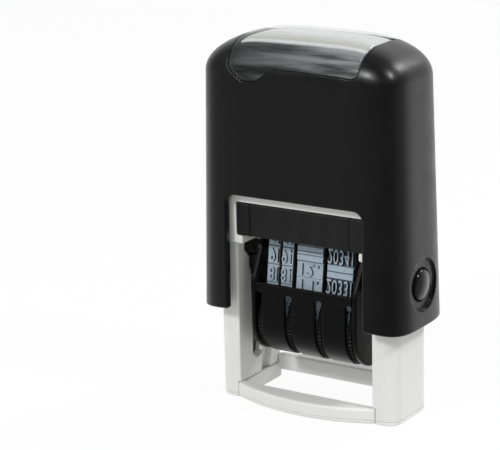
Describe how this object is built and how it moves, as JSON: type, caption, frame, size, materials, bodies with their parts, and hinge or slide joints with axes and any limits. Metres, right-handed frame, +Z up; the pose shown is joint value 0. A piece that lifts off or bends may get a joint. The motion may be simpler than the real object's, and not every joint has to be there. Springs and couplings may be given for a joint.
{
  "type": "rotary date stamp",
  "caption": "Self-inking date stamp: a spring-returned case slides down a base frame and turns a carrier of rotary date bands from its ink pad onto the paper.",
  "frame": {"origin": "centre of the footprint on the table, at table height", "axes": "+Z up, X along the printed line, -Y is the front that shows the ink cartridge, the bands and the lift tab"},
  "size_m": [0.0472, 0.0222, 0.0762],
  "materials": {
    "case_plastic": "black moulded plastic, satin",
    "frame_plastic": "off-white moulded plastic, satin",
    "carrier_plastic": "black moulded plastic, semi-gloss",
    "cartridge_plastic": "black moulded plastic, matt",
    "button_plastic": "black moulded plastic, glossy",
    "clear_plastic": "clear moulded plastic, polished",
    "card": "smooth white card",
    "band_rubber": "light blue-grey rubber, matt",
    "pad_felt": "felt soaked with blue ink",
    "steel": "drawn steel"
  },
  "bodies": {
    "base": {"base_frame": "frame_plastic", "foot_frame": "frame_plastic", "ink_cartridge": "cartridge_plastic", "ink_pad": "pad_felt", "return_spring": "steel"},
    "case": {"outer_case": "case_plastic", "slide_bow": "carrier_plastic", "index_card": "card"},
    "cover": {"clear_cover": "clear_plastic"},
    "left_button": {"left_lock_button": "button_plastic"},
    "right_button": {"right_lock_button": "button_plastic"},
    "carrier": {"left_cheek": "carrier_plastic", "right_cheek": "carrier_plastic", "left_pivot_pin": "steel", "right_pivot_pin": "steel", "platen_bridge": "carrier_plastic", "wheel_axle": "steel", "wheel_cover": "carrier_plastic", "day_tens_band": "band_rubber", "day_units_band": "band_rubber", "month_band": "band_rubber", "year_band": "band_rubber"},
    "day_tens": {"day_tens_wheel": "carrier_plastic"},
    "day_units": {"day_units_wheel": "carrier_plastic"},
    "month": {"month_wheel": "carrier_plastic"},
    "year": {"year_wheel": "carrier_plastic"}
  },
  "joints": [
    {"name": "case_slide", "type": "slide", "parent": "base", "child": "case", "axis": [0, 0, -1], "range_m": [0, 0.0192], "stiffness_N_per_m": 80, "springref_m": -0.005, "deforming": ["return_spring"]},
    {"name": "carrier_flip", "type": "hinge", "parent": "case", "child": "carrier", "pos_m": [0, 0, 0.028], "axis": [-1, 0, 0], "range_deg": [0, 180.5]},
    {"name": "cover_lift", "type": "slide", "parent": "case", "child": "cover", "axis": [0, 0, 1], "range_m": [0, 0.012]},
    {"name": "left_button_press", "type": "slide", "parent": "case", "child": "left_button", "axis": [1, 0, 0], "range_m": [0, 0.0008]},
    {"name": "right_button_press", "type": "slide", "parent": "case", "child": "right_button", "axis": [-1, 0, 0], "range_m": [0, 0.0008]},
    {"name": "day_tens_turn", "type": "hinge", "parent": "carrier", "child": "day_tens", "pos_m": [-0.0085, 0, 0.017], "axis": [1, 0, 0], "continuous": true},
    {"name": "day_units_turn", "type": "hinge", "parent": "carrier", "child": "day_units", "pos_m": [-0.005, 0, 0.017], "axis": [1, 0, 0], "continuous": true},
    {"name": "month_turn", "type": "hinge", "parent": "carrier", "child": "month", "pos_m": [0, 0, 0.017], "axis": [1, 0, 0], "continuous": true},
    {"name": "year_turn", "type": "hinge", "parent": "carrier", "child": "year", "pos_m": [0.007, 0, 0.017], "axis": [1, 0, 0], "continuous": true}
  ],
  "couplings": [
    {"joint": "carrier_flip", "follows": "case_slide", "rad_per_m": 163.62}
  ]
}
